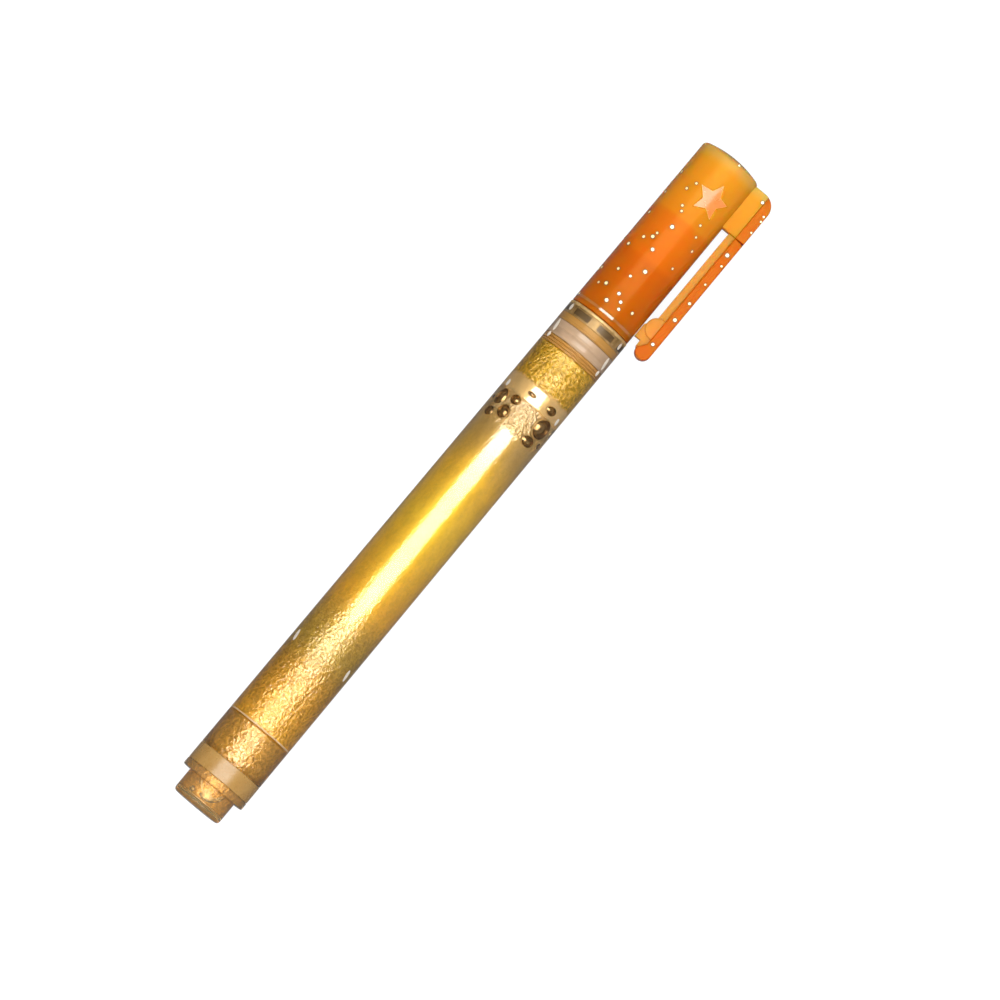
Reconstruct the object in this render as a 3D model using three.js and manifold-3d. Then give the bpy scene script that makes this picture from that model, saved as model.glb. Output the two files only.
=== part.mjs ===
// A capped gel pen that carries its metallic ink loose in a clear barrel.
// Millimetres, +Z up. The pen lies on the plane z = 0 along +X, its tail at -X and its cap at +X,
// resting on the rear flange and on one edge of the clip. The origin is at the middle of that footprint.
import * as THREE from 'three';
import { mergeVertices } from 'three/addons/utils/BufferGeometryUtils.js';
import Module from 'manifold-3d';

const wasm = await Module();
wasm.setup();

// ---- driving dimensions: x is the distance from the tail end, r the distance from the pen's axis ----
const LENGTH = 138;
const FLANGE_R = 6.08;        // the widest round part, which touches the table
const TAIL_R = 6.05;          // barrel at its rear end
const FRONT_R = 5.82;         // barrel at its front end
const WALL = 1.0;             // barrel wall
const STUB_R = 4.63;          // rear plug's stub
const CAP_MOUTH_R = 5.75;
const CAP_END_R = 5.67;
const CAP_WALL = 1.03;
const BALL_R = 0.5;           // writing ball
const CHECK_BALL_R = 1.0;     // ball that keeps the ink from running back
const CHECK_TRAVEL = 0.8;

const STUB_END = 4.26;
const FLANGE_END = 5.57;
const PLUG_WALL = 1.2;        // end wall of the plug's stub
const POCKET_R = 3.6;         // bore of the stub
const SLEEVE_BORE_R = 4.05;   // bore of the plug's sleeve
const BARREL_START = 9.0;
const BARREL_END = 102.6;
const PLUG_END = 16.5;        // mouth of the plug's inner sleeve
const HOLDER_START = 85;
const HOLDER_WEB = 95.1;      // where the holder's bore narrows
const SEAL_START = 96.6;
const SEAL_END = 99.5;
const COLLAR_START = 100.9;
const GROOVE_R = 4.0;         // floor of the holder's grooves, and its rear bore
const HOLDER_BORE = 3.3;      // bore of the holder's neck
const NECK_R = 4.4;           // outside of the holder's neck
const HOLDER_END = 110.4;
const CAP_START = 103.25;
const NOSE_END = 115.4;
const BAND_END = 116.6;
const TIP_HOLDER_END = 120.2;
const LINER_START = 112;
const LINER_END = 124.1;
const LINER_ROOF = 0.7;       // thickness of the inner cap's closed end
const CAP_ROOF = 136;         // inner face of the cap's closed end

const FIT = 0.05;             // gap left between pieces pressed together
const FLEX = 0.3;             // gap at the root of the clip's arm

const CLIP_OUT = 10.05;       // clip's outer face
const BLADE_IN = 8.3;         // inner face of the clip's blade
const WEB_IN = 7.0;           // inner edge of the web along the blade
const CLIP_W = 3.0;           // width of the blade
const WEB_W = 1.6;            // width of the web
const ROOT_START = 128;       // the block that joins the clip to the cap
const ROOT_END = 136.7;       // the clip's square end near the cap's closed end
const CLIP_NOSE = 102.5;      // the free end of the clip
const BUMP_START = 105.1;     // the bump that presses on a pocket's edge
const BUMP_END = 108.0;

const ROUND = 32;             // sides of a large round piece
const SMALL_ROUND = 20;       // sides of a small one

// The clip hangs beside the pen, turned down until the lower edge of its outer face is level with
// the bottom of the flange.
const clipReach = Math.hypot(CLIP_OUT, CLIP_W / 2);
const CLIP_DROP = Math.asin(FLANGE_R / clipReach) - Math.atan2(CLIP_W / 2, CLIP_OUT);
const clipSide = CLIP_OUT * Math.cos(CLIP_DROP) + (CLIP_W / 2) * Math.sin(CLIP_DROP);
const AXIS_Y = (clipSide - FLANGE_R) / 2;
const AXIS_Z = FLANGE_R;

// ---- helpers ----
const lerp = THREE.MathUtils.lerp;

/** Inner and outer radius of the barrel at x; it tapers slightly towards the front. */
const barrelR = (x) => lerp(TAIL_R, FRONT_R, (x - BARREL_START) / (BARREL_END - BARREL_START));
const boreR = (x) => barrelR(x) - WALL;

/** Outer radius of the cap at x. */
const capR = (x) => lerp(CAP_MOUTH_R, CAP_END_R, (x - CAP_START) / (ROOT_END - CAP_START));

/** A quarter round from one point to another, bulging towards the corner; points are [x, r]. */
function quarter(from, corner, to, steps = 4) {
  const points = [];
  for (let i = 0; i <= steps; i += 1) {
    const a = (i / steps) * Math.PI / 2;
    const u = 1 - Math.sin(a);
    const v = 1 - Math.cos(a);
    points.push([
      corner[0] + (from[0] - corner[0]) * u + (to[0] - corner[0]) * v,
      corner[1] + (from[1] - corner[1]) * u + (to[1] - corner[1]) * v,
    ]);
  }
  return points;
}

/** A body turned about the pen's axis from an outline of [x, r] points. */
function turned(outline, sides = ROUND, closed = false) {
  const loop = closed ? [...outline, outline[0]] : outline;
  const geometry = new THREE.LatheGeometry(loop.map(([x, r]) => new THREE.Vector2(r, x)), sides);
  geometry.rotateZ(-Math.PI / 2);
  return geometry;
}

/** A ring with a rectangular section. */
function ring(x0, x1, r0, r1, sides = ROUND) {
  return turned([[x0, r0], [x0, r1], [x1, r1], [x1, r0]], sides, true);
}

/** A flat outline of [x, r] points, extruded evenly to both sides of the plane through the axis. */
function slab(outline, width) {
  const shape = new THREE.Shape(outline.map(([x, r]) => new THREE.Vector2(x, r)));
  const geometry = new THREE.ExtrudeGeometry(shape, { depth: width, bevelEnabled: false });
  geometry.translate(0, 0, -width / 2);
  return geometry;
}

function solid(geometry) {
  const bare = geometry.clone();
  bare.deleteAttribute('normal');
  bare.deleteAttribute('uv');
  const merged = mergeVertices(bare, 1e-5);
  const index = merged.index.array;
  const triangles = [];
  for (let i = 0; i < index.length; i += 3) {
    const [a, b, c] = [index[i], index[i + 1], index[i + 2]];
    if (a !== b && b !== c && c !== a) triangles.push(a, b, c);
  }
  return new wasm.Manifold(new wasm.Mesh({
    numProp: 3,
    vertProperties: new Float32Array(merged.attributes.position.array),
    triVerts: new Uint32Array(triangles),
  }));
}

function geometryOf(manifold) {
  const mesh = manifold.getMesh();
  const geometry = new THREE.BufferGeometry();
  geometry.setAttribute('position', new THREE.BufferAttribute(new Float32Array(mesh.vertProperties), 3));
  geometry.setIndex(new THREE.BufferAttribute(new Uint32Array(mesh.triVerts), 1));
  geometry.computeVertexNormals();
  return geometry;
}

const joined = (...parts) => geometryOf(parts.map(solid).reduce((a, b) => a.add(b)));
const cut = (body, ...tools) => geometryOf(tools.map(solid).reduce((a, b) => a.subtract(b), solid(body)));

// ---- materials ----
const material = (color, roughness, metalness) => new THREE.MeshStandardMaterial({ color, roughness, metalness });
const plastic = (color, roughness) => () => material(color, roughness, 0);
const metal = (color, roughness) => () => material(color, roughness, 1);
const clearPlastic = plastic(0xf2ead8, 0.12);
const goldInk = metal(0xc8962d, 0.4);
const frostedRubber = plastic(0xbea596, 0.6);
const darkRubber = plastic(0x3a322b, 0.7);
const orangePlastic = plastic(0xfa8c1e, 0.15);
const palePlastic = plastic(0xffc66e, 0.3);
const steel = metal(0xc9c9c6, 0.25);
const hardMetal = metal(0x8d8f94, 0.12);

// ---- rear end ----
function rearPlug() {
  const edge = 0.5;
  const chamfer = 0.25;
  const sleeveR = boreR(BARREL_START) - FIT;
  return turned([
    [0, 0],
    ...quarter([0, STUB_R - edge], [0, STUB_R], [edge, STUB_R]),
    [STUB_END, STUB_R],
    [STUB_END, FLANGE_R - chamfer],
    [STUB_END + chamfer, FLANGE_R],
    [FLANGE_END, FLANGE_R],
    [FLANGE_END, sleeveR],
    [PLUG_END, sleeveR - FIT],
    [PLUG_END, SLEEVE_BORE_R],
    [STUB_END, SLEEVE_BORE_R],
    [STUB_END, POCKET_R],
    [PLUG_WALL, POCKET_R],
    [PLUG_WALL, 0],
  ]);
}

const rearSealRing = () => ring(FLANGE_END + FIT, BARREL_START - FIT, boreR(BARREL_START), TAIL_R);

// ---- barrel and ink ----
const barrel = () => turned([
  [BARREL_START, boreR(BARREL_START)],
  [BARREL_START, barrelR(BARREL_START)],
  [BARREL_END, barrelR(BARREL_END)],
  [BARREL_END, boreR(BARREL_END)],
], ROUND, true);

/** The ink fills the plug's pocket and sleeve, the barrel, and the rear of the holder. */
function inkCharge() {
  const start = PLUG_WALL + FIT;
  const pocketR = POCKET_R - FIT;
  const sleeveR = SLEEVE_BORE_R - FIT;
  const holderR = GROOVE_R - FIT;
  const behindPlug = PLUG_END + FIT;
  const behindHolder = HOLDER_START - FIT;
  return turned([
    [start, 0],
    [start, pocketR],
    [STUB_END + FIT, pocketR],
    [STUB_END + FIT, sleeveR],
    [behindPlug, sleeveR],
    [behindPlug, boreR(behindPlug) - FIT],
    [behindHolder, boreR(behindHolder) - FIT],
    [behindHolder, holderR],
    [HOLDER_WEB - FIT, holderR],
    [HOLDER_WEB - FIT, 0],
  ]);
}

// ---- front end ----
/** Three thin ridges that grip the barrel's bore. */
function gripRidges() {
  const pitch = 0.5;
  const depth = 0.25;
  const points = [];
  for (let i = 0; i < 3; i += 1) {
    const x = HOLDER_WEB + i * pitch;
    const r = boreR(x) - FIT;
    points.push([x, r - depth], [x + pitch * 0.4, r], [x + pitch * 0.7, r], [x + pitch, r - depth]);
  }
  return points;
}

function frontHolder() {
  const flangeStart = BARREL_END + FIT;
  const flangeEnd = flangeStart + 0.5;
  const bead = 104.45;
  const beadHalf = 0.3;
  const beadHeight = 0.15;
  const front = boreR(SEAL_END) - FIT;
  return turned([
    [HOLDER_START, GROOVE_R],
    [HOLDER_START, boreR(HOLDER_START) - FIT],
    ...gripRidges(),
    [SEAL_START, GROOVE_R],
    [SEAL_END, GROOVE_R],
    [SEAL_END, front],
    [COLLAR_START - FIT, front],
    [COLLAR_START - FIT, GROOVE_R],
    [flangeStart, GROOVE_R],
    [flangeStart, FRONT_R],
    [flangeEnd, FRONT_R],
    [flangeEnd, NECK_R],
    [bead - beadHalf, NECK_R],
    [bead, NECK_R + beadHeight],
    [bead + beadHalf, NECK_R],
    [HOLDER_END, NECK_R],
    [HOLDER_END, HOLDER_BORE],
    [HOLDER_WEB, HOLDER_BORE],
    [HOLDER_WEB, GROOVE_R],
  ], ROUND, true);
}

const frontSealRing = () => ring(SEAL_START + FIT, SEAL_END - FIT, GROOVE_R + FIT, boreR(SEAL_END) - FIT);

/** The windowed ring behind the barrel's mouth; its first window is almost in line with the clip. */
function slottedCollar() {
  const windows = 6;
  const first = 5;
  const windowLength = 1.0;
  const windowWidth = 3.2;
  const body = ring(COLLAR_START, BARREL_END, GROOVE_R + FIT, boreR(BARREL_END) - FIT);
  const tools = [];
  for (let i = 0; i < windows; i += 1) {
    const tool = new THREE.BoxGeometry(windowLength, 2 * WALL, windowWidth);
    tool.translate((COLLAR_START + BARREL_END) / 2, boreR(BARREL_END), 0);
    tool.rotateX(-THREE.MathUtils.degToRad(first + (i / windows) * 360));
    tools.push(tool);
  }
  return cut(body, ...tools);
}

/** Ink between the holder's web and the check valve. */
const inkFeed = () => turned([
  [HOLDER_WEB + FIT, 0],
  [HOLDER_WEB + FIT, HOLDER_BORE - FIT],
  [HOLDER_END, HOLDER_BORE - FIT],
  [HOLDER_END, 0],
]);

const HOUSING_R = 2.4;        // bore of the nose, which takes the tip's holder
const NOSE_R = 3.5;           // nose at its front end

const noseCone = () => turned([
  [HOLDER_END + FIT, HOUSING_R],
  [HOLDER_END + FIT, NECK_R],
  [NOSE_END, NOSE_R],
  [NOSE_END, HOUSING_R],
], ROUND, true);

const noseBand = () => ring(NOSE_END + FIT, BAND_END, HOUSING_R, NOSE_R - FIT);

// The check valve and the writing tip lie in line inside the nose.
const VALVE_START = 111;
const CHAMBER_START = 112.2;
const CHAMBER_END = CHAMBER_START + 2 * CHECK_BALL_R + CHECK_TRAVEL + 4 * FIT;
const CAGE_END = CHAMBER_END + 0.6;
const CHAMBER_R = 1.35;
const TIP_START = 118.4;
const TIP_R = 1.1;
const BALL_X = 122.05;
const SPRING_R = 0.36;

function tipHolder() {
  const seatR = 0.7;
  const channelR = 0.6;
  const shoulderR = 3.1;
  const mouthR = 1.6;
  return turned([
    [VALVE_START, seatR],
    [VALVE_START, HOUSING_R - FIT],
    [BAND_END + FIT, HOUSING_R - FIT],
    [BAND_END + FIT, shoulderR],
    [TIP_HOLDER_END, mouthR],
    [TIP_HOLDER_END, TIP_R + FIT],
    [TIP_START - FIT, TIP_R + FIT],
    [TIP_START - FIT, channelR],
    [CAGE_END, channelR],
    [CAGE_END, CHAMBER_R],
    [CHAMBER_START, CHAMBER_R],
    [CHAMBER_START, seatR],
  ], SMALL_ROUND, true);
}

function checkBall() {
  const ball = new THREE.SphereGeometry(CHECK_BALL_R, 16, 10);
  ball.translate(CHAMBER_START + CHECK_BALL_R + FIT, 0, 0);
  return ball;
}

/** A notched washer that stops the ball and lets ink pass round it. */
function valveCage() {
  const holeR = 0.45;
  const notchWidth = 0.4;
  const washer = ring(CHAMBER_END, CAGE_END - FIT, holeR, CHAMBER_R - FIT, SMALL_ROUND);
  const notches = [0, 1, 2, 3].map((i) => {
    const notch = new THREE.BoxGeometry(1, 1, notchWidth);
    notch.translate((CHAMBER_END + CAGE_END) / 2, CHAMBER_R - 0.1, 0);
    notch.rotateX((i * Math.PI) / 2);
    return notch;
  });
  return cut(washer, ...notches);
}

function tipTube() {
  const mouth = BALL_X + 0.2;
  const rim = 0.08;
  const socketR = BALL_R + FIT;
  const socketEnd = BALL_X - BALL_R - FIT;
  const throatR = 0.32;
  const throat = 0.25;
  const boreRear = 0.5;
  return turned([
    [TIP_START, boreRear],
    [TIP_START, TIP_R],
    [TIP_HOLDER_END + 0.3, TIP_R],
    [mouth, socketR + rim],
    [mouth, socketR],
    [socketEnd, socketR],
    [socketEnd, throatR],
    [socketEnd - throat, throatR],
    [socketEnd - throat - 0.1, boreRear],
  ], SMALL_ROUND, true);
}

function writingBall() {
  const ball = new THREE.SphereGeometry(BALL_R, 16, 10);
  ball.rotateX(Math.PI / 2);
  ball.translate(BALL_X, 0, 0);
  return ball;
}

/** The fine spring behind the writing ball. */
function tipSpring() {
  const turns = 6;
  const wireR = 0.06;
  const from = TIP_START - 0.4;
  const to = BALL_X - BALL_R - 0.6;
  class Helix extends THREE.Curve {
    getPoint(t, target = new THREE.Vector3()) {
      const a = t * turns * Math.PI * 2;
      return target.set(lerp(from, to, t), SPRING_R * Math.cos(a), SPRING_R * Math.sin(a));
    }
  }
  const wire = new THREE.Shape();
  wire.absarc(0, 0, wireR, 0, Math.PI * 2);
  return new THREE.ExtrudeGeometry(wire, {
    curveSegments: 3, steps: turns * 9, extrudePath: new Helix(), bevelEnabled: false,
  });
}

// ---- cap ----
const capBoreR = (x) => capR(x) - CAP_WALL;

/** A star-shaped recess that follows the round of the cap, beside the clip. */
function starRecess() {
  const centre = 129.7;
  const outer = 3.3;
  const inner = outer * 0.5;
  const depth = 0.3;
  const fromClip = THREE.MathUtils.degToRad(75);
  const shape = new THREE.Shape();
  for (let i = 0; i < 10; i += 1) {
    const r = i % 2 === 0 ? outer : inner;
    const a = (i * Math.PI) / 5;
    shape[i === 0 ? 'moveTo' : 'lineTo'](r * Math.cos(a), r * Math.sin(a));
  }
  const prism = new THREE.ExtrudeGeometry(shape, { depth: 2 * CAP_MOUTH_R, bevelEnabled: false });
  prism.rotateX(-Math.PI / 2);
  prism.translate(centre, 0, 0);
  prism.rotateX(-fromClip);
  const skin = ring(centre - outer - 1, centre + outer + 1, capR(centre) - depth, CAP_MOUTH_R + 1);
  return geometryOf(solid(prism).intersect(solid(skin)));
}

/** The cap with the block that carries the clip, moulded in one. */
function capShell() {
  const edge = 0.6;
  const shoulder = LENGTH - 1.4;
  const endR = capR(shoulder);
  const domeStart = shoulder + edge;
  const dome = [0.75, 0.5, 0.25, 0].map((u) => [
    lerp(LENGTH, domeStart, u * u),
    u * (endR - edge),
  ]);
  const cup = turned([
    [CAP_ROOF, 0],
    [CAP_ROOF, capBoreR(CAP_ROOF) - edge],
    [CAP_ROOF - edge, capBoreR(CAP_ROOF)],
    [CAP_START, capBoreR(CAP_START)],
    [CAP_START, CAP_MOUTH_R],
    ...quarter([shoulder, endR], [domeStart, endR], [domeStart, endR - edge], 3),
    ...dome,
  ]);
  const sunk = capR(ROOT_START) - 0.5;
  const rounding = 2.5;
  const block = slab([
    [ROOT_START, sunk],
    [ROOT_END, sunk],
    ...quarter([ROOT_END, CLIP_OUT - rounding], [ROOT_END, CLIP_OUT], [ROOT_END - rounding, CLIP_OUT]),
    [ROOT_START, CLIP_OUT],
  ], CLIP_W);
  return cut(joined(cup, block), starRecess());
}

/** The sprung arm: a flat blade with a web under it, and a bump and a boss near its nose. */
function clipArm() {
  const end = ROOT_START - FLEX;
  const tip = [CLIP_NOSE, BLADE_IN + 0.35];
  const bumpFoot = CAP_MOUTH_R + FLEX;
  const heel = CLIP_NOSE + 1;
  const noseLength = 2.8;
  const blade = slab([
    [heel, BLADE_IN],
    [end, BLADE_IN],
    [end, CLIP_OUT],
    ...quarter([CLIP_NOSE + noseLength, CLIP_OUT], [CLIP_NOSE, CLIP_OUT], tip),
  ], CLIP_W);
  const web = slab([
    [BUMP_START, bumpFoot],
    [BUMP_END, bumpFoot],
    [BUMP_END + WEB_IN - bumpFoot, WEB_IN],
    [end, WEB_IN],
    [end, BLADE_IN + FIT],
    [heel, BLADE_IN + FIT],
    ...quarter([heel, BLADE_IN], [heel, WEB_IN], [heel + BLADE_IN - WEB_IN, WEB_IN]),
    [BUMP_START, WEB_IN],
  ], WEB_W);
  const bossR = 1.95;
  const bossWidth = (CLIP_W + WEB_W) / 2;
  const boss = new THREE.CylinderGeometry(bossR, bossR, bossWidth, SMALL_ROUND);
  boss.rotateX(Math.PI / 2);
  boss.translate(BUMP_END, BLADE_IN - 0.3, 0);
  return joined(blade, web, boss);
}

/** The inner cap closes round the nose; its bore follows the nose's cone up to the band. */
function innerCap() {
  const roof = LINER_END - LINER_ROOF;
  const outerR = capBoreR(LINER_END) - FIT;
  const clearance = 0.15;
  const boreStart = lerp(NECK_R, NOSE_R, (LINER_START - HOLDER_END) / (NOSE_END - HOLDER_END));
  return turned([
    [roof, 0],
    [roof, NOSE_R + clearance],
    [BAND_END, NOSE_R + clearance],
    [LINER_START, boreStart + clearance],
    [LINER_START, outerR],
    [LINER_END, outerR],
    [LINER_END, 0],
  ]);
}

/** The soft disc in the inner cap that the writing ball faces. */
function sealPad() {
  const start = BALL_X + BALL_R + 0.1;
  const end = LINER_END - LINER_ROOF - FIT;
  return turned([
    [start, 0],
    [start, NOSE_R],
    [end, NOSE_R],
    [end, 0],
  ]);
}

// ---- the pen ----
const pieces = [
  ['rear_plug', rearPlug, clearPlastic],
  ['rear_seal_ring', rearSealRing, frostedRubber],
  ['barrel', barrel, clearPlastic],
  ['ink_charge', inkCharge, goldInk],
  ['front_holder', frontHolder, clearPlastic],
  ['front_seal_ring', frontSealRing, frostedRubber],
  ['slotted_collar', slottedCollar, darkRubber],
  ['ink_feed', inkFeed, goldInk],
  ['nose_cone', noseCone, clearPlastic],
  ['nose_band', noseBand, darkRubber],
  ['tip_holder', tipHolder, palePlastic],
  ['check_ball', checkBall, steel],
  ['valve_cage', valveCage, palePlastic],
  ['tip_spring', tipSpring, steel],
  ['tip_tube', tipTube, steel],
  ['writing_ball', writingBall, hardMetal],
  ['cap_shell', capShell, orangePlastic],
  ['inner_cap', innerCap, orangePlastic],
  ['seal_pad', sealPad, frostedRubber],
  ['clip_arm', clipArm, orangePlastic],
];

const pen = new THREE.Group();
pen.position.set(-LENGTH / 2, AXIS_Y, AXIS_Z);

// The clip and the pieces placed by it are drawn with the clip along +Y, then turned into place.
const placedByClip = ['cap_shell', 'clip_arm', 'slotted_collar'];
const turnedWithClip = new THREE.Group();
turnedWithClip.rotation.x = Math.PI + CLIP_DROP;
pen.add(turnedWithClip);

for (const [name, shape, look] of pieces) {
  const mesh = new THREE.Mesh(shape(), look());
  mesh.name = name;
  (placedByClip.includes(name) ? turnedWithClip : pen).add(mesh);
}

const model = new THREE.Group();
model.add(pen);

export default model;
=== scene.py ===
import math
import random

import bmesh
import bpy
from mathutils import Matrix, Vector

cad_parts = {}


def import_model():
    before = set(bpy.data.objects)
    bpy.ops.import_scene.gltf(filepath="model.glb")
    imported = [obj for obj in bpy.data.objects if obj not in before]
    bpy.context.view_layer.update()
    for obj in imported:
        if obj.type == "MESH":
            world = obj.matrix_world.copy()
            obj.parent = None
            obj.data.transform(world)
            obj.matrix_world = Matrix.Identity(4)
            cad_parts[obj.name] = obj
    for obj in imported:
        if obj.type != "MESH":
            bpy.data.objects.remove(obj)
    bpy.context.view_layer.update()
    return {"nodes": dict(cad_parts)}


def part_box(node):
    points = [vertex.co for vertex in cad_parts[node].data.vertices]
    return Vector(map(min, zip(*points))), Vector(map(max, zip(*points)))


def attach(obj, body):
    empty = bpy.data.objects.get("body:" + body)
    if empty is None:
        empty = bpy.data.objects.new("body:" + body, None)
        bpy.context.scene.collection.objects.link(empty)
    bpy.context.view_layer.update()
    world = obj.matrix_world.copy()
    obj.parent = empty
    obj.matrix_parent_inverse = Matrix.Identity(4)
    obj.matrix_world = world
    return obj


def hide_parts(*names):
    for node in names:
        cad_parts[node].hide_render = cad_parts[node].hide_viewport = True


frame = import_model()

# ---- the frame: x is millimetres from the tail end, r millimetres from the pen's axis, and an angle is
# ---- in degrees round the axis, 0 at the clip and 90 at the side that the camera sees
MM = 0.001
TAIL_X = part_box("rear_plug")[0].x
barrel_low, barrel_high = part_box("barrel")
AXIS = (barrel_low + barrel_high) / 2
clip_low, clip_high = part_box("clip_arm")
to_clip = (clip_low + clip_high) / 2 - AXIS
OUT = Vector((0, to_clip.y, to_clip.z)).normalized()
SIDE = Vector((0, OUT.z, -OUT.y))
if SIDE.z < 0:
    SIDE.negate()


def span(node):
    """Where a round node starts and ends along the pen, and its outer radius, in millimetres."""
    low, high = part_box(node)
    return (low.x - TAIL_X) / MM, (high.x - TAIL_X) / MM, (high.z - low.z) / 2 / MM


def at(x, r, angle=0.0):
    """The point of the scene at a place along the pen, a radius and an angle round the axis."""
    a = math.radians(angle)
    across = OUT * math.cos(a) + SIDE * math.sin(a)
    return Vector((TAIL_X + x * MM, AXIS.y, AXIS.z)) + across * (r * MM)


_, PLUG_END, FLANGE_R = span("rear_plug")
REAR_SEAL = span("rear_seal_ring")
BARREL = span("barrel")
INK = span("ink_charge")
HOLDER = span("front_holder")
FRONT_SEAL = span("front_seal_ring")
COLLAR = span("slotted_collar")
FEED = span("ink_feed")
NOSE = span("nose_cone")
BAND = span("nose_band")
TIP_HOLDER = span("tip_holder")
TIP_TUBE = span("tip_tube")
BALL = span("writing_ball")
CHECK_BALL = span("check_ball")
CAGE = span("valve_cage")
CAP_START, CAP_END, _ = span("cap_shell")
LINER = span("inner_cap")
PAD = span("seal_pad")
CLIP_START = (clip_low.x - TAIL_X) / MM

# Sizes that no box of the frame tells, all in millimetres.
# The rear plug: its stub, its flange and the pocket of ink in it.
STUB_R = 4.63
STUB_END = 4.26
FLANGE_END = 5.57
POCKET_R = 3.6
PLUG_WALL = 1.2
SLEEVE_BORE_R = 4.05
# The barrel, and the holder in its front end.
WALL = 1.0
FRONT_R = 5.82
HOLDER_WEB = 95.1
HOLDER_FLANGE_END = BARREL[1] + 0.55
GROOVE_R = 4.0
NECK_R = 4.4
BORE_R = 3.3
# The cap, and the block on its side that carries the clip.
CAP_MOUTH_R = 5.75
CAP_END_R = 5.67
CAP_WALL = 1.03
CAP_ROOF = 136.0
BLOCK_START = 128.0
BLOCK_END = 136.7
# The clip: the radii where its web and its blade begin and where it ends, its width, and its rounded back.
WEB_IN = 7.0
BLADE_IN = 8.3
CLIP_OUT = 10.05
CLIP_WIDTH = 3.0
CLIP_ROUNDING = 2.5
# The clip's root stops this far short of the block.
ROOT_GAP = 0.02
# Pieces pressed together share this much, so that no film of air shows between them.
OVER = 0.02
# Pieces that don't share their faces leave this much room between them.
FIT = 0.05
# A point of an outline with a smaller radius than this is on the axis.
ON_AXIS = 1e-6


def lerp(a, b, t):
    return a + (b - a) * t


def barrel_r(x):
    """The radius of the barrel's outside, which narrows a little to its front."""
    return lerp(BARREL[2], FRONT_R, (x - BARREL[0]) / (BARREL[1] - BARREL[0]))


def bore_r(x):
    """The radius of the barrel's bore."""
    return barrel_r(x) - WALL


def cap_r(x):
    """The radius of the cap's outside, which narrows a little to its end."""
    return lerp(CAP_MOUTH_R, CAP_END_R, (x - CAP_START) / (BLOCK_END - CAP_START))


# ---- meshes ----
def add(name, data):
    """A new object in the scene."""
    obj = bpy.data.objects.new(name, data)
    bpy.context.scene.collection.objects.link(obj)
    return obj


def link(name, mesh, body, materials, replaces=()):
    """A piece of the pen that rides on a body and stands in for the nodes that it replaces."""
    obj = add(name, mesh)
    for material in materials if isinstance(materials, list) else [materials]:
        mesh.materials.append(material)
    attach(obj, body)
    if replaces:
        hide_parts(*replaces)


def smooth(mesh, sharp=35):
    """Smooth shading that keeps edges sharper than an angle in degrees."""
    mesh.shade_smooth()
    mesh.set_sharp_from_angle(angle=math.radians(sharp))


def finished(bm, name, sharp=35):
    """A mesh with its double points merged, shaded smooth except at edges sharper than an angle."""
    bmesh.ops.remove_doubles(bm, verts=bm.verts, dist=1e-8)
    bmesh.ops.recalc_face_normals(bm, faces=bm.faces)
    mesh = bpy.data.meshes.new(name)
    bm.to_mesh(mesh)
    bm.free()
    smooth(mesh, sharp)
    return mesh


# A rounded corner takes at most this share of the two sides beside it. A corner that hardly bends (the
# sine of its angle is less than LEAST_BEND) stays as it is.
CORNER_SHARE = 0.45
CORNER_STEPS = 4
LEAST_BEND = 0.05


def rounded(outline, radius, closed):
    """The outline with its corners rounded. A third value of a point is its own radius of rounding."""
    count = len(outline)
    result = []
    for i, point in enumerate(outline):
        size = point[2] if len(point) > 2 else radius
        here = Vector(point[:2])
        if (not closed and i in (0, count - 1)) or size <= 0:
            result.append(here)
            continue
        before = Vector(outline[i - 1][:2])
        after = Vector(outline[(i + 1) % count][:2])
        to_before, to_after = before - here, after - here
        size = min(size, to_before.length * CORNER_SHARE, to_after.length * CORNER_SHARE)
        start = here + to_before.normalized() * size
        end = here + to_after.normalized() * size
        if abs(to_before.normalized().cross(to_after.normalized())) < LEAST_BEND:
            result.append(here)
            continue
        for step in range(CORNER_STEPS + 1):
            t = step / CORNER_STEPS
            result.append(start * (1 - t) ** 2 + here * (2 * t * (1 - t)) + end * t**2)
    return result


def skin(bm, rings, closed=False):
    """Faces from each ring of points to the next. A ring of one point lies on the axis."""
    following = rings[1:] + rings[:1] if closed else rings[1:]
    for a, b in zip(rings, following):
        sides = max(len(a), len(b))
        for k in range(sides):
            n = (k + 1) % sides
            if len(a) == 1:
                bm.faces.new((a[0], b[k], b[n]))
            elif len(b) == 1:
                bm.faces.new((a[k], a[n], b[0]))
            else:
                bm.faces.new((a[k], a[n], b[n], b[k]))


def turned(name, outline, closed=False, radius=0.12, sides=128):
    """A body turned about the pen's axis from an outline of (x, r) points."""
    bm = bmesh.new()
    rings = []
    for x, r in rounded(outline, radius, closed):
        count = sides if r > ON_AXIS else 1
        rings.append([bm.verts.new(at(x, r, 360 * k / sides)) for k in range(count)])
    skin(bm, rings, closed)
    return finished(bm, name)


def ring(name, x0, x1, r0, r1, radius=0.1):
    """A plain ring between two places along the pen and two radii."""
    return turned(name, [(x0, r0), (x0, r1), (x1, r1), (x1, r0)], closed=True, radius=radius)


def arc(cx, cy, radius, start, end, steps=8):
    """Points of an arc in the plane of x and r, angles in degrees."""
    angles = [math.radians(lerp(start, end, i / steps)) for i in range(steps + 1)]
    return [(cx + radius * math.cos(a), cy + radius * math.sin(a)) for a in angles]


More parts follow.
